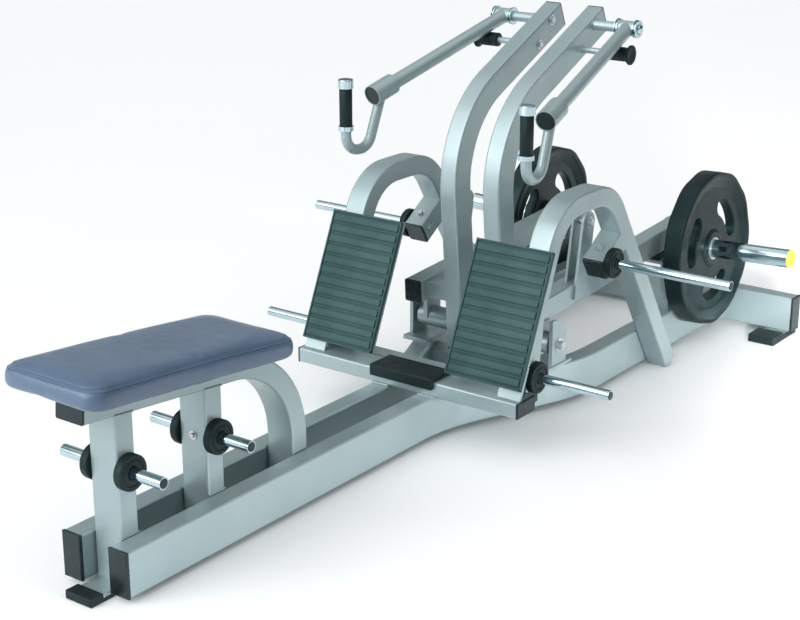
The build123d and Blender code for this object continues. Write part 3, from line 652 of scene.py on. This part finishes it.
def flat_shape(name, outline, holes, half_thick, edge):
    """Mesh of a thick sheet with holes and rounded edges, flat in XY."""
    curve = bpy.data.curves.new(name, "CURVE")
    curve.dimensions = "2D"
    curve.fill_mode = "BOTH"
    curve.extrude = half_thick - edge
    curve.bevel_depth = edge
    curve.bevel_resolution = 3
    curve.offset = -edge
    for points in (outline, *[list(reversed(h)) for h in holes]):
        spline = curve.splines.new("POLY")
        spline.points.add(len(points) - 1)
        for point, (x, y) in zip(spline.points, points):
            point.co = (x, y, 0, 1)
        spline.use_cyclic_u = True
    holder = bpy.data.objects.new(name, curve)
    bpy.context.scene.collection.objects.link(holder)
    bpy.context.view_layer.update()
    mesh = bpy.data.meshes.new_from_object(holder.evaluated_get(bpy.context.evaluated_depsgraph_get()))
    bpy.data.objects.remove(holder)
    return mesh


def rim_outline(outer):
    """Section of the raised rim and the slope down to its web, with the radius of the ridge."""
    ridge, slope, bowl = outer - 13 * MM, outer - 20 * MM, outer - 46 * MM
    face, lip = PLATE_THICK, 3.5 * MM
    depths = (0, face, face, face - lip, face - WEB_SINK, WEB_SINK, lip, 0)
    radii = (outer, outer, ridge, slope, bowl, bowl, slope, ridge)
    return rounded(list(zip(depths, radii)), 5 * MM, 4), ridge, bowl


def dress_weights():
    """Rubber plates with a raised rim, a sunk web with three hand holes, a hub and a steel insert."""
    for side, sign in SIDES:
        low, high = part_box(side + "_weight_plate")
        axis = Vector((sign * math.cos(SLEEVE_TILT), 0, math.sin(SLEEVE_TILT)))
        upright = Vector((-sign * math.sin(SLEEVE_TILT), 0, math.cos(SLEEVE_TILT)))
        outer = (high.y - low.y) / 2
        corner = outer + CORNER_R * (1 / math.cos(math.pi / PLATE_FLATS) - 1)
        middle = (low + high) / 2
        centre = middle - axis * PLATE_THICK / 2
        rim, ridge, bowl = rim_outline(outer)

        def widen(angle):
            edge = plate_radius(corner, angle) / outer
            return lambda radius: radius * (edge if radius > ridge - 4 * MM else 1.0)

        bm = bmesh.new()
        turn(bm, rim, centre, axis, 360, widen)
        hub_top = PLATE_THICK - HUB_SINK
        hub = [(HUB_SINK, PLATE_BORE), (HUB_SINK, HUB_R), (WEB_SINK, HUB_FOOT_R)]
        hub += [(PLATE_THICK - WEB_SINK, HUB_FOOT_R), (hub_top, HUB_R), (hub_top, PLATE_BORE)]
        turn(bm, rounded(hub, 4 * MM, 4), centre, axis, 96)
        holes = [circle(WEB_HOLE_R), *[kidney(math.radians(angle)) for angle in HOLE_ANGLES]]
        web = flat_shape("plate_web", circle(bowl + 6 * MM, 180), holes, PLATE_THICK / 2 - WEB_SINK, 5 * MM)
        # The web's x, y and z become the machine's Y, the plate's upright and its axis.
        stand = Matrix((Vector((0, 1, 0)), upright, axis)).transposed().to_4x4()
        web.transform(Matrix.Translation(middle) @ stand)
        bm.from_mesh(web)
        body = side + "_weight"
        mesh = to_mesh(bm, "plate")
        plate = new_piece(side + "_rubber_plate", mesh, body, "plate_rubber", 35)
        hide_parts(side + "_weight_plate")
        bm = bmesh.new()
        near, far = HUB_SINK - 1 * MM, hub_top + 1 * MM
        insert = [(near, PLATE_BORE), (near, INSERT_R), (far, INSERT_R), (far, PLATE_BORE)]
        turn(bm, rounded(insert, 1 * MM, 3), centre, axis, 72)
        new_piece(side + "_plate_insert", to_mesh(bm, "insert"), body, "zinc_steel")


dress_weights()


# ---- turned rubber and chrome pieces ------------------------------------------------------------------
HORN_BORE, SEAT_BAR_BORE = 12.6 * MM, 13.1 * MM
SEAT_REACH = 0.25                          # the discs of the seat's bars are nearer the middle than this


def dress_discs():
    """Rubber buffers on the storage bars: a rounded rim with one ring groove on each face."""
    for index, (low, high) in enumerate(islands("storage_discs")):
        centre = (low + high) / 2
        half = (high.x - low.x) / 2
        radius = (high.z - low.z) / 2
        bore = HORN_BORE if abs(centre.x) > SEAT_REACH else SEAT_BAR_BORE
        groove = [(half, 24 * MM), (half - 2 * MM, 25 * MM), (half - 2 * MM, 28 * MM), (half, 29 * MM)]
        back = [(-a, r) for a, r in reversed(groove)]
        outline = [(-half, bore), (half, bore), *groove, (half, radius), (-half, radius), *back]
        bm = bmesh.new()
        turn(bm, rounded(outline, 3 * MM, 3), centre, ACROSS, 64)
        mesh = to_mesh(bm, "buffer")
        disc = new_piece(f"storage_buffer_{index + 1}", mesh, "frame", "black_rubber", 50)
        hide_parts("storage_discs")


def dress_grips():
    """Rubber grips with a thin groove near each end."""
    for side, _ in SIDES:
        low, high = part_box(side + "_handle_grip")
        radius = (high.x - low.x) / 2
        foot = Vector(((low.x + high.x) / 2, (low.y + high.y) / 2, low.z))
        tall = high.z - low.z
        bore = 13.1 * MM
        outline = [(0, bore), (0, radius)]
        for share in (0.015, 0.985):
            base = share * tall
            outline += [(base - 0.8 * MM, radius), (base, radius - 0.7 * MM), (base + 0.8 * MM, radius)]
        outline += [(tall, radius), (tall, bore)]
        bm = bmesh.new()
        turn(bm, outline, foot, (0, 0, 1), 48)
        mesh = to_mesh(bm, "grip")
        grip = new_piece(side + "_rubber_grip", mesh, side + "_handle", "black_rubber", 60)
        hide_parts(side + "_handle_grip")


def dress_bumpers():
    """Black rollers under the handle axles, with a flared end that closes them."""
    for side, sign in SIDES:
        low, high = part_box(side + "_handle_bumper")
        wide = high.x - low.x
        flare = (high.z - low.z) / 2
        bore, barrel, centre_r = 8.1 * MM, 18 * MM, 0.05 * MM
        cap = wide - 5.6 * MM                 # the bore ends here, under the closed end
        outline = [(0, bore), (0, barrel - 1 * MM), (1 * MM, barrel), (9 * MM, barrel)]
        outline += [(10 * MM, barrel - 0.8 * MM), (11 * MM, barrel), (wide - 14 * MM, barrel)]
        outline += [(wide - 9 * MM, barrel + 1.5 * MM), (wide - 6 * MM, flare - 1.5 * MM)]
        outline += [(wide - 4.5 * MM, flare)]
        outline += [(wide - 1 * MM, flare), (wide, flare - 1.5 * MM), (wide - 0.5 * MM, 17 * MM)]
        outline += [(wide - 2.2 * MM, 12 * MM), (wide - 2.6 * MM, centre_r), (cap, centre_r), (cap, bore)]
        bm = bmesh.new()
        turn(bm, outline, inner_end(low, high, sign), ACROSS * sign, 56)
        mesh, body = to_mesh(bm, "roller"), side + "_lever_arm"
        roller = new_piece(side + "_bumper_roller", mesh, body, "black_rubber", 50)
        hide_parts(side + "_handle_bumper")


def spool_outline(wide, radius):
    """Section of a grooved spool with a recess in its outer end."""
    bore, groove, flange = 9.2 * MM, radius - 5 * MM, 0.28 * wide
    outline = [(0, bore), (0, radius - 1 * MM), (1 * MM, radius), (flange, radius)]
    outline += [(flange + 1 * MM, groove), (wide - flange - 1 * MM, groove)]
    outline += [(wide - flange, radius - 1 * MM), (wide - 1 * MM, radius - 1 * MM), (wide, radius - 2 * MM)]
    return outline + [(wide, 15 * MM), (wide - 2 * MM, 13.5 * MM), (wide - 2 * MM, bore)]


def nut_outline(wide, radius):
    """Section of a domed nut that reaches a little into the spool behind it."""
    back, centre_r = -1.5 * MM, 0.05 * MM
    outline = [(back, centre_r), (back, radius), (0.35 * wide, radius), (0.7 * wide, radius * 0.85)]
    return outline + [(0.92 * wide, radius * 0.5), (wide, centre_r)]


def dress_collars():
    """Turned collars of the handle axles: a grooved spool on each side of the handle, and the domed nut."""
    for side, sign in SIDES:
        parts = sorted(islands(side + "_axle_collars"), key=lambda part: abs(part[0].x + part[1].x))
        bm = bmesh.new()
        for index, (low, high) in enumerate(parts):
            section = spool_outline if index < 2 else nut_outline
            outline = section(high.x - low.x, (high.z - low.z) / 2)
            turn(bm, outline, inner_end(low, high, sign), ACROSS * sign, 56)
        mesh = to_mesh(bm, "spools")
        spool = new_piece(side + "_axle_spools", mesh, side + "_lever_arm", "chrome", 30)
        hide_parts(side + "_axle_collars")


dress_discs()
dress_grips()
dress_bumpers()
dress_collars()


# ---- weld beads -----------------------------------------------------------------------------------------
BEAD_R, BEAD_STEP = 2.3 * MM, 2.2 * MM
RAIL_WIDE = 50 * MM
RAIL_UNDER_BEAM = (94 * MM, 45 * MM)       # outer and inner edge of a rail's top where the foot beam lies
BRACKET_INNER = 152 * MM                   # the pivot bracket's weld starts here, over the rail
AXLE_WELD_R, BUMPER_WELD_R, HUB_WELD_R = 14 * MM, 9 * MM, 29 * MM


def ripple(index):
    """Swelling of a weld bead at each of its steps."""
    return 1.0 + 0.16 * math.sin(index * 2.1)


def bead_line(bm, a, b):
    """Adds a rippled bead between two points."""
    a, b = Vector(a), Vector(b)
    count = max(3, round((b - a).length / BEAD_STEP))
    tube_along(bm, [a.lerp(b, i / count) for i in range(count + 1)], BEAD_R, 8, closed=False, swell=ripple)


def bead_ring(bm, centre, radius):
    """Adds a rippled bead around a bar that runs across the machine."""
    count = round(2 * math.pi * radius / BEAD_STEP)
    points = []
    for i in range(count):
        angle = 2 * math.pi * i / count
        points.append(Vector(centre) + Vector((0, math.cos(angle), math.sin(angle))) * radius)
    tube_along(bm, points, BEAD_R, 8, closed=True, swell=ripple)


def rail_welds(bm, sign):
    """Beads on one rail: at the seat posts, the foot beam, the rear beam and the pivot bracket."""
    _, rail_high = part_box("right_rail")
    beam_low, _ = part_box("foot_beam")
    rear_low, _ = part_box("rear_beam")
    base_low, base_high = half_box("pivot_brackets", 1.0)
    top = rail_high.z

    def across(y, start, end):
        bead_line(bm, (sign * start, y, top), (sign * end, y, top))

    for low, high in islands("seat_posts"):
        bead_line(bm, (sign * high.x, low.y, top), (sign * high.x, high.y, top))
    across(beam_low.y, *RAIL_UNDER_BEAM)
    rail_in, rail_out = rail_high.x - RAIL_WIDE, rail_high.x
    for x in (rail_in, rail_out):
        bead_line(bm, (sign * x, rear_low.y, 18 * MM), (sign * x, rear_low.y, top - 2 * MM))
    across(rear_low.y, rail_in, rail_out)
    for y in (base_low.y, base_high.y):
        across(y, BRACKET_INNER, base_high.x)


def seat_welds(bm):
    """Beads along the tops of the seat posts, under the sloping seat tube."""
    slope = math.tan(SEAT_SLOPE)
    for low, high in sorted(islands("seat_posts"), key=lambda part: part[0].y):
        under = high.z - 2 * MM
        for x in (low.x, high.x):
            bead_line(bm, (x, low.y, under), (x, high.y, under + slope * (high.y - low.y)))


def lever_welds(bm, side, sign):
    """Rings around the axle, the bumper's bar and the hub, on the lever's outer face."""
    lever_low, lever_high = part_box(side + "_lever")
    face = lever_high.x if sign > 0 else lever_low.x
    for (low, high), radius in (
        (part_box(side + "_axle_collars"), AXLE_WELD_R),
        (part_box(side + "_handle_bumper"), BUMPER_WELD_R),
        (islands(side + "_hub_bushings")[0], HUB_WELD_R),
    ):
        bead_ring(bm, (face, (low.y + high.y) / 2, (low.z + high.z) / 2), radius)


def dress_welds():
    """One piece of beads for the frame and one for each lever."""
    bm = bmesh.new()
    for _, sign in SIDES:
        rail_welds(bm, sign)
    seat_welds(bm)
    new_piece("frame_welds", to_mesh(bm, "welds"), "frame", "frame_paint", 60)
    for side, sign in SIDES:
        bm = bmesh.new()
        lever_welds(bm, side, sign)
        mesh = to_mesh(bm, "welds")
        new_piece(side + "_lever_welds", mesh, side + "_lever_arm", "frame_paint", 60)


dress_welds()


# ---- stage, light and camera --------------------------------------------------------------------------
DARK_CORNER = (0.8, 0.6, 0.0)              # the surroundings get darker this way
# Brightness of the surroundings from the horizon to straight up, as (height, level). Below the horizon
# the first level holds.
SKY_BANDS = ((0.0, 0.75), (0.06, 0.12), (0.17, 0.10), (0.27, 1.15), (0.48, 0.95), (0.58, 0.22), (1.0, 0.30))
CAMERA_PLACE = (2.242, -3.1184, 1.589)
CAMERA_AZIMUTH, CAMERA_ELEVATION = math.radians(36.54), math.radians(18.61)
LENS, SENSOR = 74.93, 36


def make_stage():
    """A plain pale floor."""
    bpy.ops.mesh.primitive_plane_add(size=80)
    floor = bpy.context.object
    floor.name = "studio_floor"
    look = Look("pale_floor", Roughness=0.8, Specular_Ior_Level=0.2)
    look.colour(look.blend(look.noise(0.7, 2), (0.90, 0.905, 0.91), (0.93, 0.935, 0.94)))
    floor.data.materials.append(look.material)


def make_world():
    """Studio surroundings: darker towards one corner, with dark bands that metal reflects as streaks."""
    world = bpy.data.worlds.new("studio")
    bpy.context.scene.world = world
    world.use_nodes = True
    tree = world.node_tree
    back = tree.nodes["Background"]
    place = tree.nodes.new("ShaderNodeTexCoord")
    split = tree.nodes.new("ShaderNodeSeparateXYZ")
    ramp = tree.nodes.new("ShaderNodeValToRGB")
    across = tree.nodes.new("ShaderNodeVectorMath")
    across.operation = "DOT_PRODUCT"
    across.inputs[1].default_value = DARK_CORNER
    depth = tree.nodes.new("ShaderNodeMapRange")
    tint = tree.nodes.new("ShaderNodeVectorMath")
    tint.operation = "SCALE"
    tree.links.new(place.outputs["Generated"], split.inputs[0])
    tree.links.new(split.outputs["Z"], ramp.inputs["Fac"])
    tree.links.new(place.outputs["Generated"], across.inputs[0])
    tree.links.new(across.outputs["Value"], depth.inputs["Value"])
    set_ranges(depth, (-0.9, 0.9), (1.05, 0.5))
    tree.links.new(ramp.outputs["Color"], tint.inputs[0])
    tree.links.new(depth.outputs["Result"], tint.inputs["Scale"])
    tree.links.new(tint.outputs[0], back.inputs["Color"])
    stops = ramp.color_ramp.elements
    while len(stops) < len(SKY_BANDS):
        stops.new(0.5)
    for stop, (position, level) in zip(stops, SKY_BANDS):
        stop.position = position
        stop.color = (level * 0.93, level, level * 1.02, 1)
    back.inputs["Strength"].default_value = 0.7


def add_aimed(name, data, place, toward):
    """Adds a light or camera at a place, facing a direction."""
    holder = bpy.data.objects.new(name, data)
    bpy.context.scene.collection.objects.link(holder)
    holder.location = place
    holder.rotation_mode = "QUATERNION"
    holder.rotation_quaternion = Vector(toward).to_track_quat("-Z", "Y")
    return holder


def softbox(name, place, target, width, height, power, spread=180):
    """A rectangular area light that faces a target point."""
    light = bpy.data.lights.new(name, "AREA")
    light.shape = "RECTANGLE"
    light.size = width
    light.size_y = height
    light.energy = power
    light.spread = math.radians(spread)
    add_aimed(name, light, place, Vector(target) - Vector(place))


def sun(name, toward, strength, spread):
    """A wide, soft sun."""
    light = bpy.data.lights.new(name, "SUN")
    light.energy = strength
    light.angle = math.radians(spread)
    add_aimed(name, light, (0, 0, 0), toward)


def make_camera():
    """The camera, on the seat's side and to the right, looking down along its azimuth and elevation."""
    data = bpy.data.cameras.new("camera")
    data.sensor_width = SENSOR
    data.lens = LENS
    level = math.cos(CAMERA_ELEVATION)
    forward = (
        -math.sin(CAMERA_AZIMUTH) * level, math.cos(CAMERA_AZIMUTH) * level, -math.sin(CAMERA_ELEVATION)
    )
    bpy.context.scene.camera = add_aimed("camera", data, CAMERA_PLACE, forward)


make_stage()
make_world()
sun("key_sun", (0.22, 0.85, -0.60), 1.95, 60)
sun("top_sun", (-0.1, 0.15, -1.0), 1.5, 100)
softbox("front_softbox", (-1.5, -4.0, 1.6), (0, 0, 0.5), 2.5, 2.0, 40)
softbox("low_right_softbox", (2.8, -0.2, 0.22), (0.2, -0.2, 0.06), 3.2, 0.12, 2.8, spread=14)
softbox("rear_right_softbox", (2.2, -1.6, 0.7), (0.6, 1.15, 0.07), 0.5, 0.3, 2.6, spread=16)
make_camera()
bpy.context.scene.view_settings.view_transform = "Standard"
